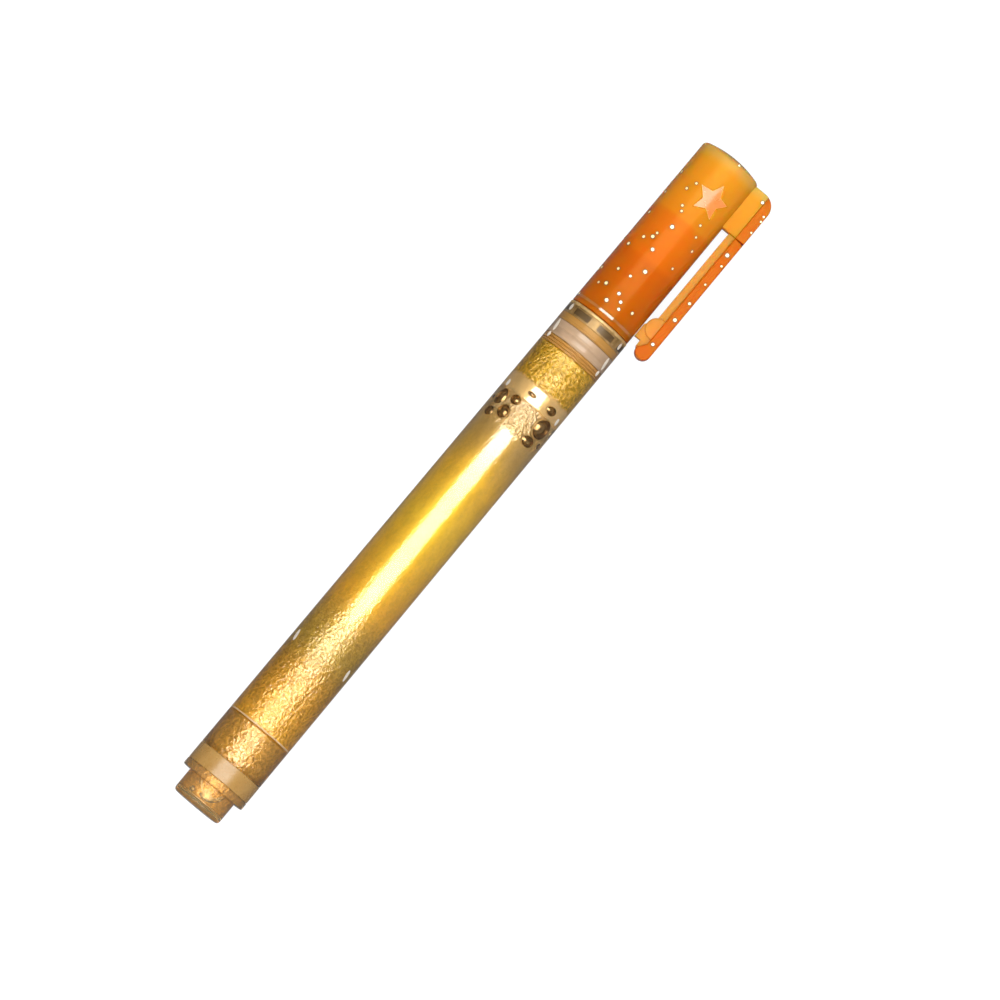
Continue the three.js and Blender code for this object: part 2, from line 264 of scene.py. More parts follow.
def slab(name, outline, width, bevel=0.15):
    """An outline of (x, r) points in the clip's plane, with an even width and rounded edges."""
    bm = bmesh.new()
    near = [bm.verts.new(at(x, r) + SIDE * (width / 2 * MM)) for x, r in outline]
    far = [bm.verts.new(at(x, r) - SIDE * (width / 2 * MM)) for x, r in outline]
    rim = [bm.faces.new(near).edges[:], bm.faces.new(list(reversed(far))).edges[:]]
    for i in range(len(outline)):
        n = (i + 1) % len(outline)
        bm.faces.new((near[i], far[i], far[n], near[n]))
    edges = list({e for edges in rim for e in edges})
    bmesh.ops.recalc_face_normals(bm, faces=bm.faces)
    bmesh.ops.bevel(
        bm, geom=edges, offset=bevel * MM, offset_type="OFFSET", segments=3, profile=0.5,
        affect="EDGES", clamp_overlap=True,
    )
    return finished(bm, name)


def joined(mesh, other):
    """The union of two closed meshes as one mesh."""
    base = add("union_base", mesh)
    tool = add("union_tool", other)
    modifier = base.modifiers.new("union", "BOOLEAN")
    modifier.operation = "UNION"
    modifier.solver = "EXACT"
    modifier.object = tool
    bpy.context.view_layer.update()
    graph = bpy.context.evaluated_depsgraph_get()
    result = bpy.data.meshes.new_from_object(base.evaluated_get(graph))
    bpy.data.objects.remove(tool)
    bpy.data.objects.remove(base)
    smooth(result)
    return result


# ---- materials ----
class Nodes:
    """A material's node tree with short ways to add to it."""

    def __init__(self, name):
        self.material = bpy.data.materials.new(name)
        self.material.use_nodes = True
        self.tree = self.material.node_tree
        self.shader = self.tree.nodes["Principled BSDF"]
        self.place = self.new("ShaderNodeTexCoord").outputs["Object"]

    def new(self, kind, **settings):
        node = self.tree.nodes.new(kind)
        for key, value in settings.items():
            setattr(node, key, value)
        return node

    def link(self, source, target):
        self.tree.links.new(source, target)

    def set(self, **values):
        for key, value in values.items():
            self.shader.inputs[key.replace("_", " ")].default_value = value

    def noise(self, scale, detail=4.0, rough=0.6, stretch=(1, 1, 1), seed=0.0):
        """Soft random spots, about scale of them to a metre; a stretch below 1 draws them out."""
        mapping = self.new("ShaderNodeMapping")
        mapping.inputs["Scale"].default_value = stretch
        mapping.inputs["Location"].default_value = (seed, seed * 0.7, -seed)
        self.link(self.place, mapping.inputs["Vector"])
        node = self.new("ShaderNodeTexNoise")
        node.inputs["Scale"].default_value = scale
        node.inputs["Detail"].default_value = detail
        node.inputs["Roughness"].default_value = rough
        self.link(mapping.outputs[0], node.inputs["Vector"])
        return node.outputs["Fac"]

    def ramp(self, source, stops, colour=True):
        """The colour, or the value, that the stops give to a source from 0 to 1."""
        node = self.new("ShaderNodeValToRGB")
        elements = node.color_ramp.elements
        while len(elements) < len(stops):
            elements.new(0.5)
        for element, (place, value) in zip(elements, stops):
            element.position = place
            element.color = (*value, 1) if colour else (value, value, value, 1)
        self.link(source, node.inputs[0])
        return node.outputs["Color"]

    def range(self, source, low, high, to_low, to_high):
        """The source moved from one range to another and kept inside it."""
        node = self.new("ShaderNodeMapRange")
        for key, value in (("From Min", low), ("From Max", high), ("To Min", to_low), ("To Max", to_high)):
            node.inputs[key].default_value = value
        self.link(source, node.inputs["Value"])
        return node.outputs[0]

    def math(self, kind, a, b):
        """A calculation with two values, each a number or another node's output."""
        node = self.new("ShaderNodeMath", operation=kind)
        for socket, value in zip(node.inputs, (a, b)):
            if isinstance(value, (int, float)):
                socket.default_value = value
            else:
                self.link(value, socket)
        return node.outputs[0]

    def mix(self, factor, a, b, blend="MIX"):
        """Two colours put together; sockets 6 and 7 of the node are its colours."""
        node = self.new("ShaderNodeMix", data_type="RGBA", blend_type=blend)
        for socket, value in zip((node.inputs[0], node.inputs[6], node.inputs[7]), (factor, a, b)):
            if isinstance(value, (int, float)):
                socket.default_value = value
            elif isinstance(value, tuple):
                socket.default_value = (*value, 1)
            else:
                self.link(value, socket)
        return node.outputs[2]

    def along(self):
        """Millimetres from the tail end, as a value."""
        parts = self.new("ShaderNodeSeparateXYZ")
        self.link(self.place, parts.inputs[0])
        return self.range(parts.outputs["X"], TAIL_X, TAIL_X + CAP_END * MM, 0, CAP_END)

    def by_place(self, stops, colour=True, wobble=None):
        """A colour or a value that changes along the pen, by stops in millimetres from the tail end."""
        where = self.along()
        if wobble is not None:
            where = self.math("ADD", where, wobble)
        where = self.range(where, 0, CAP_END, 0, 1)
        return self.ramp(where, [(x / CAP_END, c) for x, c in stops], colour)

    def bump(self, height, distance, strength=1.0):
        """A bumpy surface; the distance is the height of its bumps in millimetres."""
        node = self.new("ShaderNodeBump")
        node.inputs["Distance"].default_value = distance * MM
        node.inputs["Strength"].default_value = strength
        self.link(height, node.inputs["Height"])
        self.link(node.outputs[0], self.shader.inputs["Normal"])
        return node.outputs[0]


def clear_plastic(name, tint, rough=(0.01, 0.05), clarity=1.0):
    """Clear plastic with a faint haze."""
    n = Nodes(name)
    n.set(Transmission_Weight=clarity, IOR=1.49)
    n.set(Specular_IOR_Level=0.3, Specular_Tint=(0.16, 0.14, 0.11, 1))
    haze = n.noise(160, 6, 0.6, (0.3, 1, 1))
    darker = tuple(c * 0.95 for c in tint)
    n.link(n.ramp(haze, [(0.3, tint), (0.7, darker)]), n.shader.inputs["Base Color"])
    n.link(n.range(n.noise(420, 3, 0.7, (0.1, 1, 1), 2.0), 0.35, 0.75, *rough), n.shader.inputs["Roughness"])
    n.bump(n.noise(140, 2, 0.5, (0.25, 1, 1), 5.0), 0.01, 0.5)
    return n.material


def orange_plastic(name, stops, clarity, rough=(0.14, 0.24), coat=0.0):
    """Cloudy coloured plastic; the stops give its colour along the pen."""
    n = Nodes(name)
    n.set(Transmission_Weight=clarity, IOR=1.4, Specular_Tint=(0.4, 0.25, 0.08, 1))
    n.set(Coat_Weight=coat, Coat_IOR=1.9)
    n.set(Subsurface_Weight=1.0, Subsurface_Radius=(1.0, 0.35, 0.08), Subsurface_Scale=2.0 * MM)
    tint = n.by_place(stops)
    cloud = n.ramp(n.noise(130, 5, 0.6, (0.4, 1, 1)), [(0.3, (1, 1, 1)), (0.75, (0.99, 0.93, 0.84))])
    n.link(n.mix(1.0, tint, cloud, "MULTIPLY"), n.shader.inputs["Base Color"])
    n.link(n.range(n.noise(380, 3, 0.7, (0.2, 1, 1), 2.0), 0.3, 0.75, *rough), n.shader.inputs["Roughness"])
    n.bump(n.noise(170, 2, 0.5, (0.3, 1, 1), 5.0), 0.006, 0.5)
    return n.material


def gold_ink(name, stops, tilts, coats, flake=0.54, depth=0.43):
    """Metallic pigment in liquid. The stops give its colour along the pen, the tilts how far its flakes
    stand out of line and how strongly painted glints brighten and darken that colour, and the coats how much
    of a sharp sheen lies over them. A flake and the depth of its bump are in millimetres."""
    n = Nodes(name)
    wobble = n.range(n.noise(260, 5, 0.65, seed=1.0), 0.3, 0.7, -0.5, 0.5)
    base = n.by_place(stops, wobble=wobble)
    tilt = n.by_place(tilts, colour=False)
    blotch = n.range(n.noise(800, 6, 0.75, (0.5, 1, 1), 3.0), 0.3, 0.7, 0.86, 1.08)
    grain = n.noise(1 / (flake * MM), 2, 0.6, seed=7.0)
    # Painted glints: where the flakes tilt, the grain brightens and darkens the ink's colour.
    glint = n.math("MULTIPLY", n.range(grain, 0.38, 0.64, -0.36, 0.42), tilt)
    tone_and_glint = n.math("MULTIPLY", blotch, n.math("ADD", glint, 1.0))
    grey = n.new("ShaderNodeCombineColor")
    for socket in grey.inputs:
        n.link(tone_and_glint, socket)
    n.link(n.mix(1.0, base, grey.outputs[0], "MULTIPLY"), n.shader.inputs["Base Color"])
    n.set(Metallic=0.5, Roughness=0.4, Specular_Tint=(1, 0.62, 0.25, 1))
    n.set(Coat_Roughness=0.06, Coat_IOR=2.2)
    broken = n.math("MULTIPLY", n.range(grain, 0.62, 0.42, 0.0, 1.0), tilt)
    sheen = n.math("MULTIPLY", n.by_place(coats, colour=False), n.math("SUBTRACT", 1.0, broken))
    n.link(sheen, n.shader.inputs["Coat Weight"])
    n.link(n.bump(n.math("MULTIPLY", grain, tilt), depth), n.shader.inputs["Coat Normal"])
    return n.material


def plain(
    name, dark, light, rough=(0.3, 0.5), metallic=0.0, grain=500, depth=0.01, transmission=0.0, glow=0.0,
):
    """A surface mottled between two colours, with a fine grain."""
    n = Nodes(name)
    n.link(n.ramp(n.noise(grain, 5, 0.65), [(0.3, dark), (0.7, light)]), n.shader.inputs["Base Color"])
    n.link(n.range(n.noise(grain * 1.7, 4, 0.6, seed=4.0), 0.3, 0.7, *rough), n.shader.inputs["Roughness"])
    n.set(Metallic=metallic, Transmission_Weight=transmission, IOR=1.45)
    n.set(Emission_Color=(*light, 1), Emission_Strength=glow)
    n.bump(n.noise(grain * 2.2, 3, 0.6, seed=6.0), depth, 0.6)
    return n.material


def turned_metal(name, colour, rough=(0.12, 0.3)):
    """Metal with fine rings left by turning."""
    n = Nodes(name)
    n.set(Metallic=1.0)
    rings = n.noise(9000, 2, 0.5, (1, 0.02, 0.02))
    darker = tuple(c * 0.8 for c in colour)
    n.link(n.ramp(rings, [(0.3, darker), (0.7, colour)]), n.shader.inputs["Base Color"])
    n.link(n.range(rings, 0.3, 0.7, *rough), n.shader.inputs["Roughness"])
    n.bump(rings, 0.004, 0.5)
    return n.material


# Colours are linear. The stops of the ink and of the orange plastic are millimetres from the tail end.
CLEAR = clear_plastic("clear_plastic", (0.99, 0.94, 0.86))
SMOKY = clear_plastic("smoky_plastic", (0.82, 0.62, 0.32), (0.05, 0.12), 0.9)
AMBER = clear_plastic("amber_plastic", (0.76, 0.42, 0.12), (0.05, 0.12), 0.25)
# The cap's stops paint the shade and light of what lies inside it: darker over the pen's front end to 115.5
# mm, lighter past the liner's end at 124 mm, and palest at its thin domed end.
ORANGE = orange_plastic("orange_plastic", [
    (103, (0.66, 0.18, 0.008)), (108, (0.70, 0.19, 0.008)), (115.2, (0.74, 0.19, 0.008)),
    (115.6, (0.84, 0.23, 0.01)), (123.9, (0.88, 0.27, 0.014)), (124.2, (0.93, 0.36, 0.02)),
    (135, (0.97, 0.45, 0.03)), (136.2, (1.0, 0.56, 0.12)), (137.5, (1.0, 0.58, 0.14)),
], 0.6)
CLIP_BLADE = orange_plastic("clip_orange", [(102, (0.66, 0.15, 0.006)), (136, (0.72, 0.18, 0.006))], 0.5)
CLIP_WEB = orange_plastic("clip_web", [(102, (0.90, 0.38, 0.08)), (128, (0.90, 0.40, 0.08))], 0.6)
MOUTH_LINE = orange_plastic("mouth_line", [(103, (0.66, 0.19, 0.008))], 0.5, (0.03, 0.06), 1.0)
LINER_ORANGE = orange_plastic("liner_orange", [(110, (0.88, 0.40, 0.06)), (125, (0.90, 0.44, 0.06))], 0.6)
STAR_FACE = plain("star_face", (0.74, 0.26, 0.06), (0.86, 0.33, 0.10), (0.15, 0.3), transmission=0.4)
# Painted highlight: the bright line along the star's edge.
STAR_EDGE_HIGHLIGHT = plain(
    "star_edge_highlight", (0.84, 0.36, 0.06), (1.0, 0.62, 0.18), (0.1, 0.2), transmission=0.3, grain=160,
)
# The ink in the tail, along the barrel, among the bubbles, in a ring painted pale for the sheen of a
# trapped ring of air over it, and in the front end.
INK_COLOURS = [
    (0, (0.76, 0.40, 0.06)), (8.9, (0.76, 0.40, 0.06)), (9.1, (0.74, 0.37, 0.05)),
    (16.3, (0.78, 0.41, 0.06)), (16.6, (0.92, 0.48, 0.04)), (24, (0.82, 0.43, 0.04)),
    (28, (0.70, 0.38, 0.04)), (33, (0.58, 0.38, 0.05)), (38, (0.68, 0.42, 0.06)),
    (43, (0.98, 0.54, 0.04)), (60, (1.0, 0.67, 0.05)), (70, (0.98, 0.60, 0.05)),
    (76, (0.70, 0.44, 0.09)), (79.5, (0.66, 0.43, 0.13)), (84.9, (0.68, 0.48, 0.22)),
    (85.1, (0.96, 0.66, 0.27)), (88.1, (0.94, 0.64, 0.25)), (88.3, (0.74, 0.44, 0.035)),
    (95, (0.78, 0.48, 0.035)), (104, (0.60, 0.40, 0.06)),
]
INK_TILTS = [
    (0, 0.4), (16, 0.6), (28, 0.6), (36, 0.5), (44, 0.16), (60, 0.08), (79, 0.1), (80, 0.7),
    (84.8, 0.7), (85.2, 0.1), (88, 0.08), (88.3, 0.9),
]
INK_COATS = [
    (0, 0.4), (9, 0.85), (16, 0.9), (28, 1.0), (36, 0.9), (42, 0.75), (56, 0.6), (64, 0.6),
    (73, 0.8), (76, 1.0), (88, 1.0), (88.3, 0.85),
]
MAIN_INK = gold_ink("gold_ink", INK_COLOURS, INK_TILTS, INK_COATS)
FROSTED = plain("frosted_seal", (0.62, 0.45, 0.31), (0.70, 0.52, 0.38), (0.12, 0.25), transmission=0.1)
REAR_FROST = plain("rear_frost", (0.36, 0.20, 0.055), (0.42, 0.25, 0.08), (0.2, 0.35), transmission=0.3)
DARK = plain("dark_band", (0.07, 0.04, 0.015), (0.19, 0.12, 0.05), (0.35, 0.5))
RIM_GOLD = plain("rim_gold", (0.58, 0.36, 0.12), (0.95, 0.72, 0.36), (0.1, 0.25), 0.4)
# Painted highlight: a white that glows a little, for the white seen through air gaps at the barrel's edges.
GAP_PAINTED_HIGHLIGHT = plain("gap_painted_highlight", (0.92, 0.85, 0.76), (1.0, 0.97, 0.92), (0.1, 0.2), glow=0.15)
# Painted shade: the dark inside of an air bubble, as seen through the barrel's wall.
BUBBLE_PAINTED_SHADE = plain("bubble_painted_shade", (0.16, 0.09, 0.03), (0.46, 0.30, 0.13), (0.12, 0.22), 0.75, grain=1400)
COLLAR_GOLD = plain("collar_gold", (0.26, 0.15, 0.045), (0.62, 0.42, 0.18), (0.4, 0.55), 0.4, 900, 0.05)
BUBBLE_FILL = plain("bubble_fill", (0.22, 0.12, 0.05), (0.80, 0.64, 0.40), (0.1, 0.3), 0.4, 1500, 0.06)
PALE = plain("pale_plastic", (0.72, 0.52, 0.26), (0.85, 0.66, 0.40), (0.3, 0.45))
STEEL = turned_metal("turned_steel", (0.72, 0.70, 0.66))
# Glitter: bright flakes are partly their own colour, partly a painted glint; dark ones are painted shade.
GLITTER_PAINTED_GLINT = plain("glitter", (0.84, 0.62, 0.22), (1.0, 0.90, 0.58), (0.1, 0.3), 0.2, 2500, 0.002)
GLITTER_PAINTED_SHADE = plain("glitter_painted_shade", (0.07, 0.025, 0.004), (0.16, 0.06, 0.01), (0.3, 0.5))
CARBIDE = turned_metal("carbide", (0.42, 0.43, 0.45), (0.05, 0.12))


# ---- rear end ----
# The clear pieces are pressed together without a gap that shows, so light crosses from one to the next
# as through one block. Their meshes leave out the faces where they touch.
def rear_plug():
    """The plug, with the rim of its mouth, painted pale as the highlight on its edge, and the line of its
    floor as seen through the clear plastic.
    """
    sleeve = bore_r(BARREL[0])
    mesh = turned("rear_plug_body", [
        (0, 0), (0, STUB_R, 0.75), (STUB_END, STUB_R, 0.1), (STUB_END, FLANGE_R, 0.25),
        (FLANGE_END, FLANGE_R), (FLANGE_END, sleeve), (BARREL[0], sleeve),
    ])
    link("rear_plug_clear", mesh, "pen", SMOKY, ["rear_plug"])
    mouth = bore_r(PLUG_END)
    # Painted highlight: a pale ring for the light off the edge of the plug's mouth.
    rim = ring("plug_mouth_rim_highlight", PLUG_END - 0.14, PLUG_END + 0.12, mouth - 0.2, mouth + 0.09)
    link("plug_mouth_rim_highlight", rim, "pen", PALE)
    line = ring("plug_floor_line", PLUG_WALL, PLUG_WALL + 0.16, POCKET_R - 0.3, POCKET_R + 0.06)
    link("plug_floor_line", line, "pen", RIM_GOLD)


def rear_seal():
    x0, x1, r = REAR_SEAL
    inner = bore_r(BARREL[0]) + OVER
    outline = [(x0, inner), (x0, r, 0.15), (x1, r, 0.15), (x1, inner)]
    mesh = turned("rear_seal_body", outline, closed=True)
    link("rear_seal_frosted", mesh, "pen", REAR_FROST, ["rear_seal_ring"])


# ---- barrel and ink ----
def barrel():
    x0, x1, r = BARREL
    mesh = turned("barrel_body", [(x0, bore_r(x0)), (x0, r, 0.1), (x1, FRONT_R, 0.1), (x1, NECK_R)])
    link("barrel_clear", mesh, "pen", CLEAR, ["barrel"])


def ink():
    """The ink from the plug's pocket to the holder's web, with a fine groove where the holder begins."""
    start = INK[0] - OVER
    past_plug = PLUG_END + OVER
    groove, groove_half, groove_depth = HOLDER[0], 0.1, 0.12
    r = bore_r(groove)
    mesh = turned("ink_body", [
        (start, 0), (start, POCKET_R, 0.5), (STUB_END, POCKET_R), (STUB_END, SLEEVE_BORE_R),
        (PLUG_END - 0.3, SLEEVE_BORE_R, 0.3), (past_plug, bore_r(past_plug), 0.1),
        (groove - groove_half, r, 0.1), (groove, r - groove_depth, 0.05), (groove + groove_half, r, 0.1),
        (HOLDER_WEB, bore_r(HOLDER_WEB), 0.3), (HOLDER_WEB, 0),
    ])
    link("ink_gold", mesh, "pen", MAIN_INK, ["ink_charge"])


def ellipse_patch(bm, x, angle, half_x, half_turn, r, rise, tilt=0.0, rings=10, sides=36):
    """A domed oval on a cylinder of radius r with a raised rim, which gets material 0, and the rest
    material 1."""
    rim, swell = 0.8, 0.5
    centre = bm.verts.new(at(x, r + rise, angle))
    rows = []
    for i in range(1, rings + 1):
        u = i / rings
        row = []
        for k in range(sides):
            a = 2 * math.pi * k / sides
            along, across = half_x * u * math.cos(a), half_turn * u * math.sin(a)
            turned_x = along * math.cos(tilt) - across * math.sin(tilt)
            turned_a = along * math.sin(tilt) + across * math.cos(tilt)
            dome = 1 - min(u, rim) ** 2
            raised = swell * math.sin(math.pi * max(u - rim, 0) / (1 - rim))
            height = r + rise * (dome + raised)
            row.append(bm.verts.new(at(x + turned_x, height, angle + math.degrees(turned_a / r))))
        rows.append(row)
    for k in range(sides):
        n = (k + 1) % sides
        bm.faces.new((centre, rows[0][k], rows[0][n])).material_index = 1
        for i, (a, b) in enumerate(zip(rows, rows[1:])):
            bm.faces.new((a[k], b[k], b[n], a[n])).material_index = 0 if i >= rings - 2 else 1


# The bubbles that the camera sees, as (x, angle, half length, half width, tilt in radians).
NEAR_BUBBLES = (
    (83.2, 145, 1.7, 1.15, 0.0), (81.4, 120, 1.3, 1.1, 0.1), (84.1, 116, 0.9, 0.95, 0.2),
    (80.2, 147, 0.95, 1.0, 0.0), (80.1, 50, 1.0, 1.3, 0.0), (83.1, 44, 1.95, 1.7, -0.1),
    (86.4, 99, 0.42, 0.8, 0.0), (86.4, 52, 0.8, 1.1, 0.0),
)
FAR_BUBBLES = 20
FOAM_START = 79.6
FOAM_END = 84.4


def bubbles():
    """Air bubbles that press the ink back from the barrel's wall, placed on the near side and scattered
    on the far side. Their insides are painted dark, as the shade seen into the air, within a gold rim."""
    lift = 0.03
    bm = bmesh.new()
    for x, angle, half_x, half_turn, tilt in NEAR_BUBBLES:
        rise = 0.45 * min(half_x, half_turn)
        ellipse_patch(bm, x, angle, half_x, half_turn, bore_r(x) + lift, rise, tilt)
    dice = random.Random(3)
    for _ in range(FAR_BUBBLES):
        x = dice.uniform(FOAM_START, FOAM_END)
        size = dice.uniform(0.35, 1.2)
        angle = dice.uniform(165, 380)
        ellipse_patch(bm, x, angle, size, size * dice.uniform(0.7, 1.1), bore_r(x) + lift, 0.2)
    mesh = finished(bm, "ink_bubbles", 60)
    link("ink_bubbles", mesh, "pen", [RIM_GOLD, BUBBLE_PAINTED_SHADE])


def edge_gap_highlights():
    """Painted highlights: white ovals that glow a little where small flat air gaps between the ink and
    the wall show the white beyond, as (x, half length).
    """
    half_turn, lift, rise, tilt = 0.42, 0.05, 0.05, 0.25
    bm = bmesh.new()
    for x, half_x in ((32.0, 1.1), (85.8, 0.65), (96.2, 0.5), (98.2, 1.2), (101.9, 0.6)):
        for angle in (20, 160):
            ellipse_patch(bm, x, angle, half_x, half_turn, bore_r(x) + lift, rise, tilt)
    mesh = finished(bm, "edge_gap_highlights", 60)
    link("edge_gap_highlights", mesh, "pen", [GAP_PAINTED_HIGHLIGHT, GAP_PAINTED_HIGHLIGHT])


def plug_bubble():
    """The bubble in the plug's stub, as a dark shape, painted as the shade round its edge, with a smaller
    pale one over it, and two drops whose dark rims are painted shade too.
    """
    corners = [(4.2, 128), (3.6, 124), (1.8, 98), (1.6, 90), (1.65, 78), (2.0, 66), (2.9, 52), (4.2, 44)]
    centre_x, centre_angle = 3.3, 88
    bm = bmesh.new()
    for scale, lift, index in ((1.0, 0.06, 0), (0.84, 0.09, 1)):
        r = POCKET_R + lift
        middle = bm.verts.new(at(centre_x, r, centre_angle))
        loop = []
        for x, angle in corners:
            place = at(lerp(centre_x, x, scale), r, lerp(centre_angle, angle, scale))
            loop.append(bm.verts.new(place))
        for a, b in zip(loop, loop[1:]):
            bm.faces.new((middle, a, b)).material_index = index
    for x, angle, size in ((1.9, 124, 0.5), (3.2, 54, 0.28)):
        ellipse_patch(bm, x, angle, size, size, POCKET_R + 0.08, size * 0.5)
    mesh = finished(bm, "plug_bubble", 60)
    link("plug_bubble", mesh, "pen", [DARK, BUBBLE_FILL])


# ---- front end ----
def front_holder():
    """The holder's part inside the barrel shows as amber plastic with three ridges, its neck as clear."""
    seal_start, seal_end = FRONT_SEAL[0] - FIT, FRONT_SEAL[1] + FIT
    rear = HOLDER_WEB + 0.02
    ridges, pitch, depth = 3, 0.5, 0.22
    outline = [(rear, GROOVE_R)]
    for i in range(ridges):
        x = rear + i * pitch
        r = bore_r(x)
        outline += [(x, r - depth), (x + pitch * 0.4, r), (x + pitch * 0.7, r), (x + pitch, r - depth)]
    front = bore_r(seal_end)
    outline += [
        (seal_start, GROOVE_R), (seal_end, GROOVE_R), (seal_end, front), (seal_end + 0.3, front - 0.12),
        (seal_end + 0.5, front), (COLLAR[0] - FIT, front), (COLLAR[0] - FIT, GROOVE_R),
    ]
    mesh = turned("front_holder_rear", outline, closed=True, radius=0.07)
    link("front_holder_amber", mesh, "pen", AMBER)
    flange = ring("holder_flange", BARREL[1] + 0.01, HOLDER_FLANGE_END, NECK_R - 0.2, FRONT_R, 0.2)
    link("front_holder_flange", flange, "pen", COLLAR_GOLD)
    bead, bead_half, bead_rise = 104.45, 0.3, 0.15
    mesh = turned("front_holder_neck", [
        (HOLDER_FLANGE_END - OVER, NECK_R), (bead - bead_half, NECK_R), (bead, NECK_R + bead_rise),
        (bead + bead_half, NECK_R), (HOLDER[1], NECK_R),
    ], radius=0.07)
    link("front_holder_clear", mesh, "pen", CLEAR, ["front_holder"])


def front_seal():
    """The sealing ring, with two lands that press on the barrel and a waist between them."""
    x0, x1 = FRONT_SEAL[:2]
    r = bore_r(x0)
    waist_r = r - 0.15
    rear_land, rear_land_end = x0 + 0.5, x0 + 1.05
    waist = x0 + 1.5
    front_land, front_land_end = x0 + 1.95, x1 - 0.1
    mesh = turned("front_seal_body", [
        (x0, GROOVE_R), (x0, waist_r), (rear_land, r), (rear_land_end, r), (waist, waist_r),
        (front_land, r), (front_land_end, r), (x1, waist_r), (x1, GROOVE_R),
    ], closed=True, radius=0.04)
    link("front_seal_frosted", mesh, "pen", FROSTED, ["front_seal_ring"])


def block_round(bm, x0, x1, r0, r1, start, end, steps):
    """A curved block between two angles."""
    section = ((x0, r0), (x0, r1), (x1, r1), (x1, r0))
    columns = []
    for k in range(steps + 1):
        angle = lerp(start, end, k / steps)
        columns.append([bm.verts.new(at(x, r, angle)) for x, r in section])
    bm.faces.new(columns[0])
    bm.faces.new(list(reversed(columns[-1])))
    for a, b in zip(columns, columns[1:]):
        for j in range(4):
            n = (j + 1) % 4
            bm.faces.new((a[j], b[j], b[n], a[n]))


def collar():
    """A dark ring under a gold one with windows. One window's middle is 65 degrees from the clip."""
    windows, first, half_window = 6, 65, 20
    rim, depth = 0.28, 0.3
    nearly_round = 359.9
    x0, x1, r = COLLAR
    floor_ring = ring("collar_floor", x0, x1, GROOVE_R + FIT, r - depth / 2, 0.05)
    link("collar_floor_dark", floor_ring, "pen", DARK, ["slotted_collar"])
    bm = bmesh.new()
    pitch = 360 / windows
    for i in range(windows):
        window = first + i * pitch
        rib = window + half_window, window + pitch - half_window
        block_round(bm, x0, x1, r - depth, r + OVER, *rib, 8)
    for start, end in ((x0, x0 + rim), (x1 - rim, x1)):
        block_round(bm, start, end, r - depth, r + OVER, 0, nearly_round, 120)
    mesh = finished(bm, "collar_ribs")
    link("collar_ribs", mesh, "pen", COLLAR_GOLD)


def feed():
    mesh = turned("feed_body", [(FEED[0], 0), (FEED[0], BORE_R), (FEED[1], BORE_R), (FEED[1], 0)])
    link("ink_feed_gold", mesh, "pen", MAIN_INK, ["ink_feed"])


def nose():
    """The amber cone and the dark band in front of it, with one bore for the tip holder's stem."""
    bore, front_r = 2.4, 3.5
    x0, x1, r = NOSE
    mesh = turned("nose_body", [(x0, bore), (x0, r), (x1, front_r), (x1, bore)], closed=True)
    link("nose_clear", mesh, "pen", AMBER, ["nose_cone"])
    x0, x1, r = BAND
    band = ring("nose_band_body", x0, x1, bore, r)
    link("nose_band_dark", band, "pen", DARK, ["nose_band"])


def tip_holder():
    """The pale cone, with the check ball's chamber behind and the seat of the steel tube in front."""
    stem_r, front_r = 2.35, 1.6
    inlet_r, chamber_r, outlet_r, seat_r = 0.7, 1.35, 0.6, 1.15
    x0, x1, r = TIP_HOLDER
    shoulder = BAND[1] + FIT
    chamber, chamber_end = CHECK_BALL[0] - FIT, CAGE[1] + FIT
    seat = TIP_TUBE[0] - FIT
    mesh = turned("tip_holder_body", [
        (x0, inlet_r), (x0, stem_r), (shoulder, stem_r), (shoulder, r), (x1, front_r), (x1, seat_r),
        (seat, seat_r), (seat, outlet_r), (chamber_end, outlet_r), (chamber_end, chamber_r),
        (chamber, chamber_r), (chamber, inlet_r),
    ], closed=True, radius=0.08, sides=96)
    link("tip_holder_pale", mesh, "pen", PALE, ["tip_holder"])


def tip_tube():
    """The steel tube, which narrows to its lip round the writing ball."""
    lip_r, socket_r, neck_r, bore = 0.63, 0.55, 0.32, 0.5
    x0, x1, r = TIP_TUBE
    neck = BALL[0] - FIT
    mesh = turned("tip_tube_body", [
        (x0, bore), (x0, r), (TIP_HOLDER[1] + 0.3, r), (x1, lip_r), (x1, socket_r), (neck, socket_r),
        (neck, neck_r), (neck - 0.25, neck_r), (neck - 0.35, bore),
    ], closed=True, radius=0.04, sides=96)
    link("tip_tube_steel", mesh, "pen", STEEL, ["tip_tube"])


def ball(name, where, node, material):
    """A ball in its place on the axis, on its own body."""
    x0, x1, r = where
    outline = arc((x0 + x1) / 2, 0, r, 180, 0, 24)
    mesh = turned(name + "_body", outline, radius=0, sides=48)
    link(name, mesh, node, material, [node])


def cage_and_spring():
    """The valve's cage and the tip's spring keep the frame's own shapes and only get their finish."""
    for node, material in (("valve_cage", PALE), ("tip_spring", STEEL)):
        mesh = frame["nodes"][node].data
        mesh.materials.clear()
        mesh.materials.append(material)


# ---- cap ----
# The star is pressed into the cap's side; its sides slope over a short way.
STAR_X = 129.7
STAR_ANGLE = 75
STAR_R = 3.3
STAR_INNER_R = 0.5 * STAR_R
STAR_DEPTH = 0.22
STAR_SLOPE = 0.2
STAR_POINTS = 5


def star_reach(a):
    """How far the star reaches from its centre in a direction, in millimetres."""
    sector = math.pi / STAR_POINTS
    turn = abs((a + sector) % (2 * sector) - sector)
    inner = Vector((math.cos(sector), math.sin(sector))) * STAR_INNER_R
    edge = inner - Vector((STAR_R, 0))
    normal = Vector((edge.y, -edge.x)).normalized()
    return normal.x * STAR_R / (normal.x * math.cos(turn) + normal.y * math.sin(turn))


def star_depth(x, angle, r):
    """How deep the star is pressed in at a place on the cap, in millimetres."""
    u = x - STAR_X
    v = math.radians(angle - STAR_ANGLE) * r
    away = math.hypot(u, v)
    if away > STAR_R * 1.2:
        return 0.0
    inside = star_reach(math.atan2(v, u)) - away
    t = min(max(inside / STAR_SLOPE + 0.5, 0), 1)
    return STAR_DEPTH * t * t * (3 - 2 * t)


